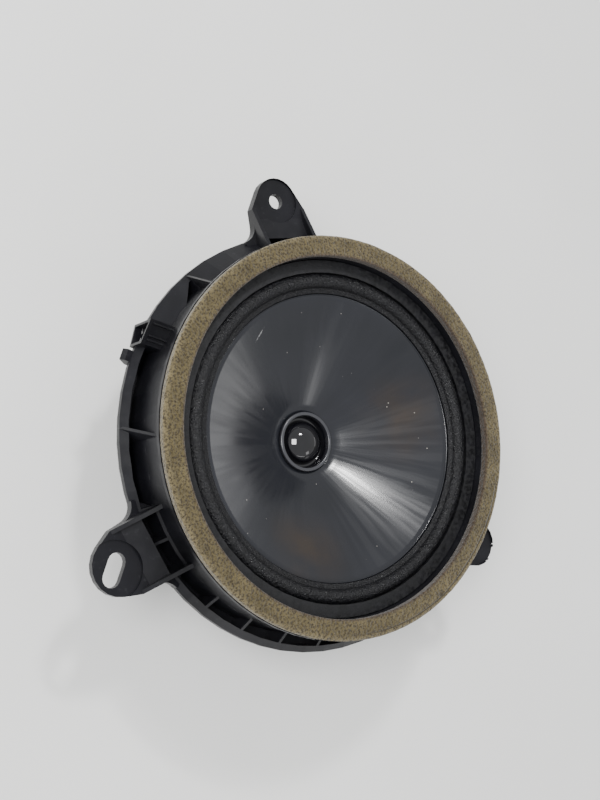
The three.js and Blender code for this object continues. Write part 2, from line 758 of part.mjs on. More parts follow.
// A braided lead that loops from a blade's inner end to its tag on the coil former.
function leadGeometry(side) {
  const y = side * BLADE.pitch / 2;
  const start = BLADE.inner + 1.5;
  const end = FORMER_RADIUS + TAG.thickness + LEAD.gap;
  const low = BLADE_LEVEL - BLADE.thickness / 2 - LEAD.radius - LEAD.gap;
  const path = new THREE.CatmullRomCurve3([
    new THREE.Vector3(start, y, low),
    new THREE.Vector3(start - 6, y, low - LEAD.sag * 0.4),
    new THREE.Vector3((start + end) / 2, y, (low + LEAD_LANDING) / 2 - LEAD.sag),
    new THREE.Vector3(end + 7, y, LEAD_LANDING - LEAD.sag * 0.4),
    new THREE.Vector3(end, y, LEAD_LANDING),
  ]);
  const section = new THREE.Shape();
  section.absarc(0, 0, LEAD.radius, 0, 2 * Math.PI, false);
  const options = { steps: 14, curveSegments: 4, extrudePath: path, bevelEnabled: false };
  return facing(new THREE.ExtrudeGeometry(section, options), WIRE_TURN);
}

function tagGeometry(side) {
  const y = side * BLADE.pitch / 2;
  const x = Math.sqrt(FORMER_RADIUS ** 2 - (BLADE.pitch / 2 - TAG.width / 2) ** 2) + 0.05;
  const tag = block(
    x, x + TAG.thickness,
    y - TAG.width / 2, y + TAG.width / 2,
    LEAD_LANDING - TAG.height / 2, LEAD_LANDING + TAG.height / 2,
  );
  return facing(tag, WIRE_TURN);
}

// ---- Assembly -------------------------------------------------------------------------------------
const speaker = new THREE.Group();

function place(name, geometry, look, x = 0, y = 0) {
  const mesh = new THREE.Mesh(geometry, look());
  mesh.name = name;
  mesh.position.set(x, y, 0);
  speaker.add(mesh);
}

place('yoke', yokeGeometry(), LOOKS.steel);
place(
  'magnet',
  ringGeometry(MAGNET_BORE, MAGNET.radius, MAGNET_LOW, MAGNET_TOP, SMALL_STEPS),
  LOOKS.ferrite,
);
place('top_plate', topPlateGeometry(), LOOKS.steel);
place('frame', frameGeometry(), LOOKS.moulded);
rivetSpots().forEach(([x, y], i) => place(`rivet_${i + 1}`, rivetGeometry(), LOOKS.tin, x, y));
place('spider', spiderGeometry(), LOOKS.damper);
place('coil_former', formerGeometry(), LOOKS.kraft);
place('coil_winding', windingGeometry(), LOOKS.copper);
place('cone', coneGeometry(), LOOKS.cone);
place('dust_cap', capGeometry(), LOOKS.cap);
place('surround', surroundGeometry(), LOOKS.roll);
const clampLow = SURROUND_TOP + GLUE;
const clampOuter = MOUTH_RADIUS - FIT;
place(
  'clamp_ring',
  ringGeometry(clampOuter - CLAMP.width, clampOuter, clampLow, clampLow + CLAMP.thickness, BIG_STEPS),
  LOOKS.band,
);
const foamLow = LIP_TOP + GLUE;
place(
  'front_gasket',
  ringGeometry(MOUTH_RADIUS, FOAM.radius, foamLow, foamLow + FOAM.thickness, BIG_STEPS),
  LOOKS.foam,
);
[['positive', 1], ['negative', -1]].forEach(([pole, side]) => {
  place(`terminal_${pole}`, bladeGeometry(side), LOOKS.tin);
  place(`lead_${pole}`, leadGeometry(side), LOOKS.braid);
  place(`coil_tag_${pole}`, tagGeometry(side), LOOKS.copper);
});

export default speaker;
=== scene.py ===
import math

import bmesh
import bpy
from mathutils import Euler, Matrix, Vector, noise
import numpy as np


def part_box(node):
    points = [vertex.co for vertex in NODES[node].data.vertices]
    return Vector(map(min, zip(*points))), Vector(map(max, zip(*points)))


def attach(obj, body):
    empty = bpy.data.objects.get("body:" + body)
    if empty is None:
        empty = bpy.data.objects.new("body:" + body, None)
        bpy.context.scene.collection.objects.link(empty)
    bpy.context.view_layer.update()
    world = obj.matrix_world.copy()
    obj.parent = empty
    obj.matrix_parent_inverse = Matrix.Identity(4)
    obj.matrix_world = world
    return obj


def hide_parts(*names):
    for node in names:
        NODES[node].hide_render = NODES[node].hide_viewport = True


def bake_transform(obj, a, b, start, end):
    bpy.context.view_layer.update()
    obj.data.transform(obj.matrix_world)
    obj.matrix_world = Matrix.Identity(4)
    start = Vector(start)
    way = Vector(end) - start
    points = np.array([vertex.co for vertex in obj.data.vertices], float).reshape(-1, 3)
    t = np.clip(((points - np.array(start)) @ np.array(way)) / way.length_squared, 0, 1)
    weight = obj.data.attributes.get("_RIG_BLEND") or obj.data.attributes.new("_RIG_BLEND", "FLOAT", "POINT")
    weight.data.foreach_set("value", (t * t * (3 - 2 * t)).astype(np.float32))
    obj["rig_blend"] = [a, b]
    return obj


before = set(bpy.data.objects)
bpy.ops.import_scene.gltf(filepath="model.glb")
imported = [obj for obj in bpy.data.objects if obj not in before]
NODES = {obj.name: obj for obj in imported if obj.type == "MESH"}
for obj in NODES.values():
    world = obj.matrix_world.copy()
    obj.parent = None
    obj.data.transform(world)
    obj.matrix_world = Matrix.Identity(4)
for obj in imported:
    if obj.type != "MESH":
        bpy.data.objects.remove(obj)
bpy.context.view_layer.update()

MM = 0.001


# ---- Sizes ----------------------------------------------------------------------------------------
def span(node):
    """Bottom, top and radius of a round node."""
    low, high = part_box(node)
    return low.z, high.z, (high.x - low.x) / 2


def centre(node):
    low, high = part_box(node)
    return (low + high) / 2


# The pieces' sizes, as in the CAD.
PLASTIC_SKIN = 0.8 * MM
SURROUND_SKIN = 0.7 * MM
ROLL_RADIUS = 2.7 * MM
ROLL_GAP = 0.5 * MM
SPIDER_SKIN = 0.6 * MM
SPIDER_WAVE = 1.1 * MM
SPIDER_WAVES = 2.5
SPIDER_FOOT = 6.4 * MM
CONE_LIP = 2.9 * MM
CONE_FLARE = 0.93
CONE_GLUE = 0.25 * MM
COLLAR_HEIGHT = 2.4 * MM
GROOVE_DEPTH = 5.5 * MM
DOME_RADIUS = 8.6 * MM
DOME_CROWN = 4.0 * MM
CAP_COLLAR_DROP = 4.5 * MM

# Read from the frame.
GASKET_LOW, GASKET_TOP, GASKET_RADIUS = span("front_gasket")
SURROUND_LOW, SURROUND_TOP, SURROUND_RADIUS = span("surround")
CONE_LOW, CONE_TOP, CONE_RADIUS = span("cone")
CAP_LOW, CAP_TOP, CAP_RADIUS = span("dust_cap")
CAP_COLLAR_LOW = CAP_TOP - CAP_COLLAR_DROP
CLAMP_RADIUS = span("clamp_ring")[2]
SPIDER_LOW, _, SPIDER_RADIUS = span("spider")
FORMER_RADIUS = span("coil_former")[2]
MOUTH_RADIUS = CLAMP_RADIUS + 0.3 * MM

# Marks on the cone.
SCRATCH_PLACE = (-26.5 * MM, 45.6 * MM, 63 * MM)
SCRATCH_TURN = math.radians(-38)
SCRATCH_SIZE = (0.35 * MM, 4.2 * MM, 12 * MM)
BROWN_PATCHES = (
    ((42 * MM, 4 * MM, 60 * MM), 26 * MM),
    ((-18 * MM, -44 * MM, 62 * MM), 24 * MM),
)

# The leads' sizes, as in the CAD.
POLES = ("positive", "negative")
BLADE_INNER = 51.5 * MM
LEAD_RADIUS = 0.6 * MM
LEAD_GAP = 0.3 * MM
LEAD_SAG = 5 * MM
LEAD_START_RUN = 6 * MM
LEAD_END_RUN = 7 * MM
LEAD_STEPS = 90
TAG_THICKNESS = 0.4 * MM
STRANDS = 3
STRAND_SIDES = 8
STRAND_TURNS = 14


# ---- Node helpers ---------------------------------------------------------------------------------
class Look:
    """A node material with a Principled shader, built up a layer at a time."""

    def __init__(self, name, rough=0.5, metal=0.0):
        self.material = bpy.data.materials.new(name)
        self.material.use_nodes = True
        self.tree = self.material.node_tree
        self.shader = self.tree.nodes["Principled BSDF"]
        self.shader.inputs["Roughness"].default_value = rough
        self.shader.inputs["Metallic"].default_value = metal
        self.height = None

    def node(self, kind, **values):
        made = self.tree.nodes.new(kind)
        for key, value in values.items():
            if hasattr(made, key):
                setattr(made, key, value)
            else:
                made.inputs[key.replace("_", " ").title()].default_value = value
        return made

    def link(self, source, target):
        self.tree.links.new(source, target)

    def place(self):
        return self.node("ShaderNodeNewGeometry").outputs["Position"]

    def noise(self, scale, detail=3.0, roughness=0.5):
        texture = self.node("ShaderNodeTexNoise", scale=scale, detail=detail, roughness=roughness)
        self.link(self.place(), texture.inputs["Vector"])
        return texture.outputs["Fac"]

    def cells(self, scale):
        texture = self.node("ShaderNodeTexVoronoi", scale=scale, randomness=1.0)
        self.link(self.place(), texture.inputs["Vector"])
        return texture.outputs["Distance"]

    def ramp(self, source, stops):
        made = self.node("ShaderNodeValToRGB")
        elements = made.color_ramp.elements
        while len(elements) < len(stops):
            elements.new(0.5)
        for element, (at, value) in zip(elements, stops):
            element.position = at
            element.color = (*value, 1) if isinstance(value, tuple) else (value, value, value, 1)
        self.link(source, made.inputs["Fac"])
        return made.outputs["Color"]

    def maths(self, operation, a, b=0.0):
        made = self.node("ShaderNodeMath", operation=operation)
        for socket, value in zip(made.inputs, (a, b)):
            if isinstance(value, (int, float)):
                socket.default_value = value
            else:
                self.link(value, socket)
        return made.outputs["Value"]

    def mix(self, factor, a, b):
        made = self.node("ShaderNodeMix", data_type="RGBA")
        for socket, value in ((made.inputs[0], factor), (made.inputs[6], a), (made.inputs[7], b)):
            if isinstance(value, (int, float)):
                socket.default_value = value
            elif isinstance(value, tuple):
                socket.default_value = (*value, 1)
            else:
                self.link(value, socket)
        return made.outputs[2]

    def stretch(self, source, low, high):
        """A value mapped so that low becomes 0 and high becomes 1."""
        made = self.node("ShaderNodeMapRange")
        made.inputs["From Min"].default_value = low
        made.inputs["From Max"].default_value = high
        self.link(source, made.inputs["Value"])
        return made.outputs["Result"]

    def color(self, source):
        self.link(source, self.shader.inputs["Base Color"])
        return self

    def rough(self, source):
        self.link(source, self.shader.inputs["Roughness"])
        return self

    def bump(self, source, strength, distance):
        made = self.node("ShaderNodeBump", strength=strength, distance=distance)
        self.link(source, made.inputs["Height"])
        if self.height is not None:
            self.link(self.height, made.inputs["Normal"])
        self.height = made.outputs["Normal"]
        self.link(self.height, self.shader.inputs["Normal"])
        return self

    def set(self, **values):
        for key, value in values.items():
            self.shader.inputs[key.replace("_", " ")].default_value = value
        return self

    def spokes(self, count, detail, along):
        """Noise drawn out along the radius, with about count streaks round the axis."""
        split = self.node("ShaderNodeSeparateXYZ")
        self.link(self.place(), split.inputs["Vector"])
        join = self.node("ShaderNodeCombineXYZ")
        self.link(split.outputs["X"], join.inputs["X"])
        self.link(split.outputs["Y"], join.inputs["Y"])
        unit = self.node("ShaderNodeVectorMath", operation="NORMALIZE")
        self.link(join.outputs["Vector"], unit.inputs[0])
        parts = self.node("ShaderNodeSeparateXYZ")
        self.link(unit.outputs["Vector"], parts.inputs["Vector"])
        streaks = self.node("ShaderNodeCombineXYZ")
        self.link(self.maths("MULTIPLY", parts.outputs["X"], count / 6), streaks.inputs["X"])
        self.link(self.maths("MULTIPLY", parts.outputs["Y"], count / 6), streaks.inputs["Y"])
        self.link(self.maths("MULTIPLY", self.radius(), along), streaks.inputs["Z"])
        texture = self.node("ShaderNodeTexNoise", scale=1.0, detail=detail, roughness=0.6)
        self.link(streaks.outputs["Vector"], texture.inputs["Vector"])
        return texture.outputs["Fac"]

    def spot(self, point, reach):
        """1 at a point, falling to 0 at the reach."""
        away = self.node("ShaderNodeVectorMath", operation="DISTANCE")
        self.link(self.place(), away.inputs[0])
        away.inputs[1].default_value = point
        made = self.node("ShaderNodeMapRange", interpolation_type="SMOOTHSTEP")
        made.inputs["From Max"].default_value = reach
        made.inputs["To Min"].default_value = 1.0
        made.inputs["To Max"].default_value = 0.0
        self.link(away.outputs["Value"], made.inputs["Value"])
        return made.outputs["Result"]

    def radius(self):
        split = self.node("ShaderNodeSeparateXYZ")
        self.link(self.place(), split.inputs["Vector"])
        x2 = self.maths("MULTIPLY", split.outputs["X"], split.outputs["X"])
        y2 = self.maths("MULTIPLY", split.outputs["Y"], split.outputs["Y"])
        return self.maths("SQRT", self.maths("ADD", x2, y2))

    def turn(self):
        split = self.node("ShaderNodeSeparateXYZ")
        self.link(self.place(), split.inputs["Vector"])
        return self.maths("ARCTAN2", split.outputs["Y"], split.outputs["X"])


# ---- Materials --------------------------------------------------------------------------------------
def moulded_look():
    look = Look("moulded_black", 0.4)
    cloud = look.noise(45, 4)
    base = look.ramp(cloud, [(0.3, (0.003, 0.003, 0.004)), (0.75, (0.009, 0.009, 0.012))])
    dust = look.ramp(look.noise(420, 5, 0.7), [(0.6, 0.0), (0.74, 0.3)])
    look.color(look.mix(dust, base, (0.05, 0.05, 0.056)))
    smear = look.noise(160, 3)
    look.rough(look.ramp(smear, [(0.3, 0.31), (0.7, 0.44)]))
    look.bump(look.noise(2200, 2), 0.25, 0.00008)
    look.bump(look.noise(260, 3), 0.15, 0.0003)
    look.set(Specular_IOR_Level=0.3)
    return look.material


def foam_look():
    look = Look("gasket_foam", 0.95)
    pores = look.cells(820)
    tint = look.noise(90, 4)
    base = look.ramp(tint, [(0.3, (0.068, 0.053, 0.021)), (0.7, (0.125, 0.099, 0.045))])
    ring = look.radius()
    # Lighter towards the outer edge and darker within 1.5 mm of the inner edge.
    to_outside = look.stretch(ring, GASKET_RADIUS - 2.4 * MM, GASKET_RADIUS)
    outer = look.ramp(to_outside, [(0.0, 0.0), (0.9, 0.5)])
    edge_toned = look.mix(outer, base, (0.22, 0.18, 0.1))
    to_inside = look.stretch(ring, MOUTH_RADIUS, MOUTH_RADIUS + 1.5 * MM)
    inner = look.ramp(to_inside, [(0.1, 0.75), (0.9, 0.0)])
    edge_toned = look.mix(inner, edge_toned, (0.05, 0.032, 0.027))
    # Painted shade: the pores are darkened where shade falls into them, over random dark grain; the pores
    # are also a bump.
    pore_shade = look.ramp(pores, [(0.2, 1.0), (0.5, 0.0)])
    speck = look.ramp(look.noise(620, 2), [(0.38, 0.0), (0.5, 0.8)])
    grain = look.ramp(look.noise(1050, 5, 0.75), [(0.4, 0.95), (0.52, 0.0)])
    dark = look.maths("MAXIMUM", look.maths("MULTIPLY", pore_shade, speck), grain)
    crease_and_shade = crease_and_shade_mask(look, ring)
    look.color(look.mix(look.maths("MAXIMUM", dark, crease_and_shade), edge_toned, (0.02, 0.014, 0.007)))
    look.bump(look.maths("SUBTRACT", pores, crease_and_shade), 0.9, 0.0005)
    look.bump(look.noise(1500, 4), 0.7, 0.0003)
    look.set(Sheen_Weight=0.2, Sheen_Roughness=0.6, Specular_IOR_Level=0.15)
    return look.material


def crease_and_shade_mask(look, ring):
    """Painted shade of a crease: a thin dark line near the outer edge over the lower right stretch of the
    ring, with one dark nick; the same mask also sinks them as a bump.
    """
    wander = look.maths("MULTIPLY", look.noise(60, 2), 1.6 * MM)
    offset = look.maths("SUBTRACT", look.maths("ADD", ring, wander), GASKET_RADIUS - 1.3 * MM)
    away = look.stretch(look.maths("ABSOLUTE", offset), 0, 0.6 * MM)
    line = look.ramp(away, [(0.15, 0.85), (0.8, 0.0)])
    along = look.stretch(look.turn(), math.radians(-105), math.radians(-15))
    window = look.ramp(along, [(0.0, 0.0), (0.25, 1.0), (0.8, 1.0), (1.0, 0.0)])
    nick_turn = math.radians(-64)
    nick_radius = GASKET_RADIUS - 2.6 * MM
    nick = (nick_radius * math.cos(nick_turn), nick_radius * math.sin(nick_turn), GASKET_TOP)
    return look.maths("MAXIMUM", look.maths("MULTIPLY", line, window), look.spot(nick, 1.9 * MM))


def clamp_look():
    look = Look("clamp_board", 0.6)
    cloud = look.noise(300, 4)
    look.color(look.ramp(cloud, [(0.3, (0.0015, 0.0015, 0.002)), (0.75, (0.006, 0.006, 0.008))]))
    look.rough(look.ramp(look.noise(700, 4), [(0.4, 0.35), (0.65, 0.75)]))
    look.bump(look.noise(1400, 4), 0.6, 0.0002)
    return look.material


def roll_look():
    look = Look("surround_skin", 0.45)
    cloud = look.noise(500, 4)
    look.color(look.ramp(cloud, [(0.3, (0.0012, 0.0012, 0.0018)), (0.75, (0.005, 0.005, 0.007))]))
    look.rough(look.ramp(look.noise(900, 3), [(0.35, 0.26), (0.65, 0.62)]))
    look.bump(look.noise(1300, 4, 0.65), 1.0, 0.0006)
    look.bump(look.cells(800), 0.5, 0.0005)
    look.set(Specular_IOR_Level=0.38)
    return look.material


def cone_look():
    look = Look("cone_polypropylene", 0.3)
    cloud = look.noise(18, 3)
    base = look.ramp(cloud, [(0.3, (0.009, 0.01, 0.013)), (0.7, (0.017, 0.018, 0.023))])
    patches = [look.spot(place, reach) for place, reach in BROWN_PATCHES]
    patch = look.maths("MAXIMUM", *patches)
    warm = look.maths("MULTIPLY", patch, look.ramp(look.noise(60, 4), [(0.35, 0.05), (0.65, 0.4)]))
    tinted = look.mix(warm, base, (0.05, 0.03, 0.013))
    dust = look.ramp(look.cells(300), [(0.05, 1.0), (0.09, 0.0)])
    sparse = look.ramp(look.noise(90, 1), [(0.6, 0.0), (0.64, 1.0)])
    dusty = look.mix(look.maths("MULTIPLY", dust, sparse), tinted, (0.32, 0.3, 0.27))
    look.color(look.mix(cone_scratch(look), dusty, (0.4, 0.4, 0.4)))
    streaks = look.spokes(70, 2.0, 25.0)
    look.rough(look.ramp(streaks, [(0.38, 0.16), (0.62, 0.26)]))
    look.bump(streaks, 0.07, 0.0003)
    look.bump(look.noise(900, 3), 0.08, 0.00005)
    look.set(Specular_IOR_Level=0.6)
    return look.material


def cone_scratch(look):
    """A short pale rub mark on the left of the cone."""
    mapping = look.node("ShaderNodeMapping", vector_type="TEXTURE")
    mapping.inputs["Location"].default_value = SCRATCH_PLACE
    mapping.inputs["Rotation"].default_value = (0, 0, SCRATCH_TURN)
    mapping.inputs["Scale"].default_value = SCRATCH_SIZE
    look.link(look.place(), mapping.inputs["Vector"])
    length = look.node("ShaderNodeVectorMath", operation="LENGTH")
    look.link(mapping.outputs["Vector"], length.inputs[0])
    line = look.ramp(length.outputs["Value"], [(0.3, 0.7), (1.0, 0.0)])
    broken = look.ramp(look.noise(900, 2), [(0.42, 0.0), (0.56, 1.0)])
    return look.maths("MULTIPLY", line, broken)


def cap_look():
    look = Look("dust_cap_gloss", 0.06)
    black = look.ramp(look.noise(200, 3), [(0.3, (0.002, 0.002, 0.003)), (0.7, (0.005, 0.005, 0.007))])
    # Painted sheen: the collar band is coloured lighter grey to stand for the glossy ring's reflection; it
    # is also made rougher.
    to_rim = look.stretch(look.radius(), CAP_RADIUS - 2.2 * MM, CAP_RADIUS)
    collar_sheen_band = look.ramp(to_rim, [(0.25, 0.0), (0.35, 1.0)])
    look.color(look.mix(collar_sheen_band, black, (0.035, 0.036, 0.042)))
    polish = look.ramp(look.noise(240, 4), [(0.4, 0.03), (0.75, 0.08)])
    look.rough(look.mix(collar_sheen_band, polish, (0.3, 0.3, 0.3)))
    look.bump(look.noise(300, 2), 0.03, 0.0001)
    look.set(Specular_IOR_Level=0.9)
    return look.material


def metal_look(name, low, high, rough, scale=300):
    look = Look(name, rough, 1.0)
    look.color(look.ramp(look.noise(scale, 4), [(0.3, low), (0.7, high)]))
    look.rough(look.ramp(look.noise(scale * 1.7, 3), [(0.3, rough * 0.75), (0.7, rough * 1.3)]))
    look.bump(look.noise(scale * 5, 2), 0.15, 0.0001)
    return look.material


def ferrite_look():
    look = Look("ferrite_grey", 0.7)
    look.color(look.ramp(look.noise(220, 5), [(0.3, (0.03, 0.03, 0.032)), (0.7, (0.075, 0.074, 0.076))]))
    look.bump(look.noise(1600, 4), 0.5, 0.0002)
    return look.material


def woven_look(name, low, high, threads):
    look = Look(name, 0.9)
    split = look.node("ShaderNodeSeparateXYZ")
    look.link(look.place(), split.inputs["Vector"])
    weft = look.maths("SINE", look.maths("MULTIPLY", split.outputs["X"], threads))
    warp = look.maths("SINE", look.maths("MULTIPLY", split.outputs["Y"], threads))
    weave = look.maths("MULTIPLY", weft, warp)
    shade = look.maths("ADD", look.maths("MULTIPLY", weave, 0.3), 0.5)
    look.color(look.ramp(shade, [(0.2, low), (0.8, high)]))
    look.bump(weave, 0.5, 0.0002)
    return look.material


def floor_look():
    look = Look("studio_floor", 0.6)
    look.color(look.ramp(look.noise(6, 3), [(0.3, (0.88, 0.88, 0.86)), (0.7, (0.93, 0.93, 0.915))]))
    look.bump(look.noise(60, 5), 0.25, 0.0008)
    return look.material


# ---- Mesh helpers -----------------------------------------------------------------------------------
ON_AXIS = 1e-7
SHARP_DEGREES = 35
BEVEL_DEGREES = 32
FRAME_BEVEL = 0.25 * MM
PART_BEVEL = 0.12 * MM


def add_piece(name, mesh, material, smooth=True):
    piece = bpy.data.objects.new(name, mesh)
    bpy.context.scene.collection.objects.link(piece)
    mesh.materials.append(material)
    for face in mesh.polygons:
        face.use_smooth = smooth
    return piece


def turned_mesh(name, profile, steps):
    """A closed solid of revolution round Z from (radius, height) points that run counter-clockwise."""
    open_ends = profile[0][0] < ON_AXIS and profile[-1][0] < ON_AXIS
    body = bmesh.new()
    rings = []
    for radius, height in profile:
        if radius < ON_AXIS:
            rings.append([body.verts.new((0, 0, height))] * steps)
            continue
        ring = []
        for i in range(steps):
            turn = 2 * math.pi * i / steps
            ring.append(body.verts.new((radius * math.cos(turn), radius * math.sin(turn), height)))
        rings.append(ring)
    pairs = list(zip(rings, rings[1:]))
    if not open_ends:
        pairs.append((rings[-1], rings[0]))
    for low, high in pairs:
        for i in range(steps):
            corners = [low[i], low[(i + 1) % steps], high[(i + 1) % steps], high[i]]
            unique = list(dict.fromkeys(corners))
            if len(unique) > 2:
                body.faces.new(unique)
    bmesh.ops.recalc_face_normals(body, faces=body.faces)
    mesh = bpy.data.meshes.new(name)
    body.to_mesh(mesh)
    body.free()
    return mesh


def arc(middle, radius, start, end, steps):
    """Points on an arc in the (radius, height) plane; angles in degrees."""
    points = []
    for i in range(steps + 1):
        angle = math.radians(start + (end - start) * i / steps)
        points.append((middle[0] + radius * math.cos(angle), middle[1] + radius * math.sin(angle)))
    return points


def sharp_shading(piece):
    """Smooth shading that keeps the sharp edges."""
    bpy.context.view_layer.objects.active = piece
    piece.select_set(True)
    bpy.ops.object.shade_auto_smooth(angle=math.radians(SHARP_DEGREES))
    piece.select_set(False)


def bevelled(piece, width):
    bevel = piece.modifiers.new("bevel", "BEVEL")
    bevel.width = width
    bevel.segments = 2
    bevel.limit_method = "ANGLE"
    bevel.angle_limit = math.radians(BEVEL_DEGREES)
    bevel.harden_normals = True


def radial_blend(piece, inner, outer):
    """Bends a ring between the moving cone at its inner radius and the fixed frame at its outer one."""
    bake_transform(piece, "chassis", "diaphragm", start=(outer, 0, 0), end=(inner, 0, 0))
    weights = piece.data.attributes["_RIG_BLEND"]
    for vertex, weight in zip(piece.data.vertices, weights.data):
        share = (outer - math.hypot(vertex.co.x, vertex.co.y)) / (outer - inner)
        share = min(max(share, 0.0), 1.0)
        weight.value = share * share * (3 - 2 * share)


# ---- Pieces -----------------------------------------------------------------------------------------
FOAM_GRAIN = 900
FOAM_SWELL = 260
FOAM_RAGGED = 0.5 * MM
ROLL_STEPS = 24
CONE_STEPS = 30
SPIDER_STEPS = 60


def make_gasket():
    """Open-cell foam ring with soft, slightly ragged edges."""
    inner = MOUTH_RADIUS
    crown = 1.1 * MM
    low, top = GASKET_LOW, GASKET_TOP
    profile = [
        (inner + 0.2 * MM, low),
        (GASKET_RADIUS - 0.2 * MM, low),
        *arc((GASKET_RADIUS - crown, top - crown), crown, 0, 90, 5),
        *arc((inner + crown * 0.6, top - crown * 0.6), crown * 0.6, 90, 180, 4),
    ]
    mesh = turned_mesh("gasket", subdivided(profile, 0.9 * MM), 360)
    for vertex in mesh.vertices:
        grain = noise.noise(vertex.co * FOAM_GRAIN) * 0.16
        swell = noise.noise(vertex.co * FOAM_SWELL) * 0.14
        push = grain + swell
        radial = Vector((vertex.co.x, vertex.co.y, 0)).normalized()
        if vertex.co.z > low + FOAM_RAGGED:
            vertex.co += radial * push * FOAM_RAGGED
            vertex.co.z = min(vertex.co.z + push * FOAM_RAGGED, top)
    piece = add_piece("foam_gasket", mesh, foam_look())
    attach(piece, "chassis")
    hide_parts("front_gasket")


def subdivided(profile, step):
    """The same closed outline with no edge longer than step."""
    points = []
    for start, end in zip(profile, [*profile[1:], profile[0]]):
        length = math.dist(start, end)
        count = max(1, math.ceil(length / step))
        for i in range(count):
            share = i / count
            points.append(tuple(a + (b - a) * share for a, b in zip(start, end)))
    return points


def make_surround():
    skin = SURROUND_SKIN
    base = SURROUND_LOW
    inner = CONE_RADIUS - 2.0 * MM
    foot = CONE_RADIUS + ROLL_GAP
    roll = ROLL_RADIUS
    rise = SURROUND_TOP - SURROUND_LOW - skin
    middle = foot + roll
    over = []
    under = []
    for i in range(ROLL_STEPS + 1):
        angle = math.pi * i / ROLL_STEPS
        for points, offset in ((over, skin / 2), (under, -skin / 2)):
            run = (roll + offset) * math.cos(angle)
            lift = (rise + offset) * math.sin(angle)
            points.append((middle - run, base + skin / 2 + lift))
    over[0] = (over[0][0], base + skin)
    over[-1] = (over[-1][0], base + skin)
    under[0] = (under[0][0], base)
    under[-1] = (under[-1][0], base)
    profile = [
        (inner, base),
        *under,
        (SURROUND_RADIUS, base),
        (SURROUND_RADIUS, base + skin),
        *reversed(over),
        (inner + 0.3 * MM, base + skin),
        (inner, base + skin * 0.6),
    ]
    piece = add_piece("surround_roll", turned_mesh("surround", profile, 240), roll_look())
    radial_blend(piece, foot, foot + 2 * roll)
    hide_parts("surround")


def make_cone():
    """Flared cone with a raised bead and a flat lip at its edge, glued to the former at its neck."""
    skin = PLASTIC_SKIN
    neck = FORMER_RADIUS + CONE_GLUE
    edge = CONE_RADIUS - CONE_LIP
    drop = CONE_TOP - skin - CONE_LOW
    top = []
    for i in range(CONE_STEPS + 1):
        share = i / CONE_STEPS
        top.append((neck + share * (edge - neck), CONE_TOP - drop + drop * share ** CONE_FLARE))
    under = [(radius + 0.2 * MM, height - skin) for radius, height in top]
    throat = FORMER_RADIUS + 0.03 * MM
    under[0] = (neck, under[0][1])
    glue = [(throat, CAP_COLLAR_LOW + 0.7 * MM), (throat, under[0][1] + 0.3 * MM)]
    top[0] = (neck + 0.9 * MM, top[1][1])
    bead = arc((edge + 0.55 * MM, CONE_TOP - 0.25 * MM), 0.32 * MM, 180, 0, 6)
    profile = [
        *under,
        (CONE_RADIUS, CONE_TOP - skin),
        (CONE_RADIUS, CONE_TOP),
        *reversed(bead),
        *reversed(top[2:]),
        top[0],
        *glue,
    ]
    piece = add_piece("cone_skin", turned_mesh("cone", profile, 240), cone_look())
    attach(piece, "diaphragm")
    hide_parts("cone")


def make_cap():
    """Collar ring, deep groove and a polished centre dome in one moulding."""
    outer = CAP_RADIUS
    skin = PLASTIC_SKIN
    groove = CAP_LOW + skin
    collar = groove + GROOVE_DEPTH
    low = collar - COLLAR_HEIGHT
    bore = outer - 1.5 * MM
    skirt = outer - 0.5 * MM
    rim = 0.45 * MM
    dome = DOME_RADIUS
    crown = DOME_CROWN
    ball = (dome ** 2 + crown ** 2) / (2 * crown)
    middle = CAP_TOP - ball
    edge = math.degrees(math.acos(dome / ball))
    under_edge = math.degrees(math.acos((dome - skin) / (ball - skin)))
    profile = [
        *reversed(arc((0, middle), ball - skin, under_edge, 90, 16)),
        (dome - skin, CAP_LOW),
        (skirt, CAP_LOW),
        (skirt, low),
        (outer, low),
        *arc((outer - rim, collar - rim), rim, 0, 90, 6),
        *arc((bore + rim, collar - rim), rim, 90, 180, 6),
        (bore - 0.3 * MM, groove + 0.4 * MM),
        (bore - 0.7 * MM, groove),
        (dome, groove),
        *arc((0, middle), ball, edge, 90, 24),
    ]
    for end in (0, -1):
        profile[end] = (0.0, profile[end][1])
    piece = add_piece("cap_dome", turned_mesh("cap", profile, 128), cap_look())
    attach(piece, "diaphragm")
    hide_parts("dust_cap")


def make_spider():
    """Corrugated cloth ring that centres the former."""
    skin = SPIDER_SKIN
    base = SPIDER_LOW + SPIDER_WAVE
    hub = FORMER_RADIUS + 0.2 * MM
    wave_start = hub + 2 * MM
    wave_end = SPIDER_RADIUS - SPIDER_FOOT
    over = [(hub, base + skin)]
    under = [(hub, base)]
    for i in range(SPIDER_STEPS + 1):
        share = i / SPIDER_STEPS
        lift = SPIDER_WAVE * math.sin(share * SPIDER_WAVES * 2 * math.pi)
        radius = wave_start + (wave_end - wave_start) * share
        over.append((radius, base + skin + lift))
        under.append((radius, base + lift))
    profile = [*under, (SPIDER_RADIUS, base), (SPIDER_RADIUS, base + skin), *reversed(over)]
    look = woven_look("damper_cloth", (0.2, 0.13, 0.045), (0.42, 0.3, 0.12), 5200)
    piece = add_piece("spider_cloth", turned_mesh("spider", profile, 120), look)
    radial_blend(piece, wave_start, wave_end)
    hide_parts("spider")


def smooth_path(points, count):
    """Points spaced along a Catmull-Rom curve through the given ones."""
    ends = [points[0] * 2 - points[1], *points, points[-1] * 2 - points[-2]]
    path = []
    for i in range(count + 1):
        along = i * (len(points) - 1) / count
        first = min(int(along), len(points) - 2)
        t = along - first
        a, b, c, d = ends[first:first + 4]
        path.append(0.5 * (2 * b + (c - a) * t + (2 * a - 5 * b + 4 * c - d) * t * t
                           + (3 * b - a - 3 * c + d) * t ** 3))
    return path


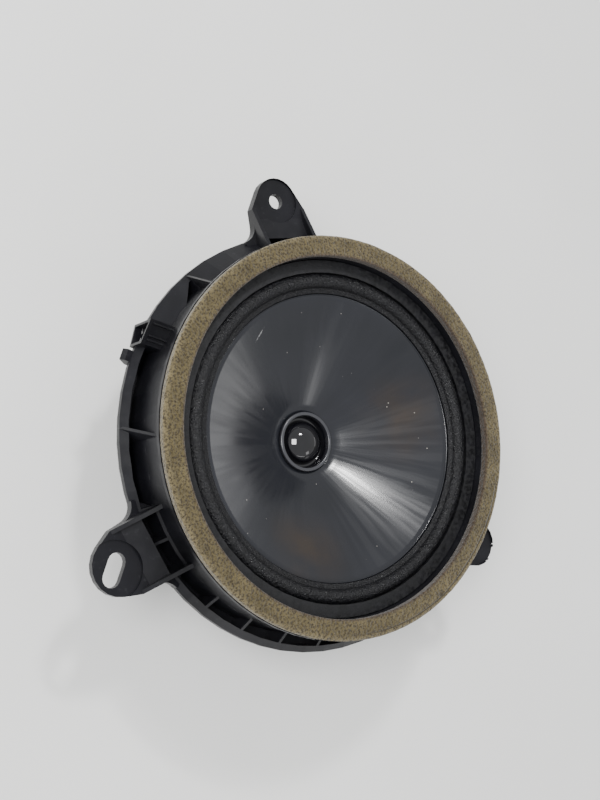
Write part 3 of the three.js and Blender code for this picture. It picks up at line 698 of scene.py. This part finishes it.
def strand(body, path, radius, phase):
    """One closed round strand that winds round a path, as far from it as its own radius."""
    side = Vector((0, 1, 0))
    rings = []
    for i, point in enumerate(path):
        ahead = path[min(i + 1, len(path) - 1)] - path[max(i - 1, 0)]
        up = ahead.cross(side).normalized()
        angle = phase + STRAND_TURNS * 2 * math.pi * i / (len(path) - 1)
        middle = point + (side * math.cos(angle) + up * math.sin(angle)) * radius
        ring = []
        for k in range(STRAND_SIDES):
            corner = 2 * math.pi * k / STRAND_SIDES
            offset = (side * math.cos(corner) + up * math.sin(corner)) * radius
            ring.append(body.verts.new(middle + offset))
        rings.append(ring)
    for low, high in zip(rings, rings[1:]):
        for k in range(STRAND_SIDES):
            after = (k + 1) % STRAND_SIDES
            body.faces.new((low[k], low[after], high[after], high[k]))
    body.faces.new(rings[0])
    body.faces.new(rings[-1])


def make_leads():
    """Two twisted leads that loop from the terminal blades to the tags on the coil former."""
    middle = sum((centre(f"coil_tag_{pole}") for pole in POLES), Vector()) / len(POLES)
    turn = math.atan2(middle.y, middle.x)
    facing = Matrix.Rotation(turn, 4, "Z")
    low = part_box("terminal_positive")[0].z - LEAD_RADIUS - LEAD_GAP
    landing = centre("coil_tag_positive").z
    start = BLADE_INNER + 1.5 * MM
    end = FORMER_RADIUS + TAG_THICKNESS + LEAD_GAP
    look = metal_look("tinsel_braid", (0.45, 0.27, 0.14), (0.68, 0.46, 0.28), 0.4, 1200)
    for pole in POLES:
        y = (facing.inverted() @ centre(f"coil_tag_{pole}")).y
        path = smooth_path([
            Vector((start, y, low)),
            Vector((start - LEAD_START_RUN, y, low - LEAD_SAG * 0.4)),
            Vector(((start + end) / 2, y, (low + landing) / 2 - LEAD_SAG)),
            Vector((end + LEAD_END_RUN, y, landing - LEAD_SAG * 0.4)),
            Vector((end, y, landing)),
        ], LEAD_STEPS)
        body = bmesh.new()
        for k in range(STRANDS):
            strand(body, path, LEAD_RADIUS * 0.5, 2 * math.pi * k / STRANDS)
        body.transform(facing)
        bmesh.ops.recalc_face_normals(body, faces=body.faces)
        mesh = bpy.data.meshes.new(f"lead_{pole}")
        body.to_mesh(mesh)
        body.free()
        piece = add_piece(f"braided_lead_{pole}", mesh, look)
        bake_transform(piece, "chassis", "diaphragm", start=facing @ path[0], end=facing @ path[-1])
        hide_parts(f"lead_{pole}")


def dress_cad():
    looks = {
        "frame": moulded_look(),
        "clamp_ring": clamp_look(),
        "yoke": metal_look("zinc_steel", (0.5, 0.5, 0.51), (0.66, 0.66, 0.67), 0.34),
        "magnet": ferrite_look(),
        "coil_former": woven_look("kraft_former", (0.3, 0.19, 0.08), (0.42, 0.28, 0.13), 3000),
        "coil_winding": metal_look("enamelled_copper", (0.5, 0.2, 0.08), (0.7, 0.32, 0.14), 0.3, 900),
        "rivet_1": metal_look("tinned_metal", (0.6, 0.6, 0.61), (0.8, 0.8, 0.8), 0.25),
    }
    looks["top_plate"] = looks["yoke"]
    for node in ("rivet_2", "rivet_3", "rivet_4", "terminal_positive", "terminal_negative"):
        looks[node] = looks["rivet_1"]
    for pole in POLES:
        looks[f"coil_tag_{pole}"] = looks["coil_winding"]
    for node, material in looks.items():
        mesh = NODES[node].data
        mesh.materials.clear()
        mesh.materials.append(material)
        bevelled(NODES[node], FRAME_BEVEL if node == "frame" else PART_BEVEL)
        sharp_shading(NODES[node])


# ---- Studio -----------------------------------------------------------------------------------------
WORLD_COLOR = (0.93, 0.94, 0.95, 1)
WORLD_STRENGTH = 0.72
FLOOR_REACH = 6.0
LIT_POINT = Vector((0, 0, 0.06))

# Each ceiling spot: degrees round the axis, degrees above the floor, watts.
CEILING_SPOTS = ((86, 56, 1.3), (91, 54, 2.4), (96, 57, 1.1))
CEILING_SIZE = (0.06, 0.06)
CEILING_DISTANCE = 1.0

# Each soft light: name, degrees round the axis, degrees above the floor, metres away, size, watts.
SOFT_LIGHTS = (
    ("halo", -62, 39, 1.0, (0.2, 0.2), 0.3),
    ("table", -95, 22, 1.0, (0.7, 0.25), 2.2),
    ("side", -4, 16, 1.2, (0.6, 0.5), 1.6),
    ("sky", 168, 52, 1.5, (0.6, 0.5), 21),
)

CAMERA_PLACE = (-0.28333, -0.00709, 0.4796)
CAMERA_TURN = (8.324, -32.36, -10.2)
CAMERA_LENS = 54.0
CAMERA_SENSOR = 36


def add_light(name, place, size, power):
    data = bpy.data.lights.new(name, "AREA")
    data.shape = "RECTANGLE"
    data.size, data.size_y = size
    data.energy = power
    lamp = bpy.data.objects.new(name, data)
    lamp.location = place
    lamp.rotation_euler = (LIT_POINT - Vector(place)).to_track_quat("-Z", "Y").to_euler()
    bpy.context.scene.collection.objects.link(lamp)


def make_studio():
    floor = bpy.data.meshes.new("floor")
    corners = [(x * FLOOR_REACH, y * FLOOR_REACH, 0) for x, y in ((-1, -1), (1, -1), (1, 1), (-1, 1))]
    floor.from_pydata(corners, [], [(0, 1, 2, 3)])
    add_piece("studio_floor", floor, floor_look(), smooth=False)
    world = bpy.data.worlds.new("studio_sky")
    world.use_nodes = True
    world.node_tree.nodes["Background"].inputs["Color"].default_value = WORLD_COLOR
    world.node_tree.nodes["Background"].inputs["Strength"].default_value = WORLD_STRENGTH
    bpy.context.scene.world = world
    for around, height, power in CEILING_SPOTS:
        place = aimed(around, height, CEILING_DISTANCE)
        add_light(f"ceiling_{around}", place, CEILING_SIZE, power)
    for name, around, height, distance, size, power in SOFT_LIGHTS:
        add_light(name, aimed(around, height, distance), size, power)


def aimed(around, height, distance):
    """A place given as degrees round the axis, degrees above the floor and a distance."""
    flat = math.cos(math.radians(height)) * distance
    turn = math.radians(around)
    return (flat * math.cos(turn), flat * math.sin(turn), distance * math.sin(math.radians(height)))


def make_camera():
    data = bpy.data.cameras.new("camera")
    data.lens = CAMERA_LENS
    data.sensor_width = CAMERA_SENSOR
    data.clip_start = 0.01
    data.clip_end = 50
    camera = bpy.data.objects.new("camera", data)
    camera.location = CAMERA_PLACE
    camera.rotation_euler = Euler([math.radians(a) for a in CAMERA_TURN], "XYZ")
    bpy.context.scene.collection.objects.link(camera)
    bpy.context.scene.camera = camera


make_camera()
make_studio()
dress_cad()
make_gasket()
make_surround()
make_cone()
make_cap()
make_spider()
make_leads()
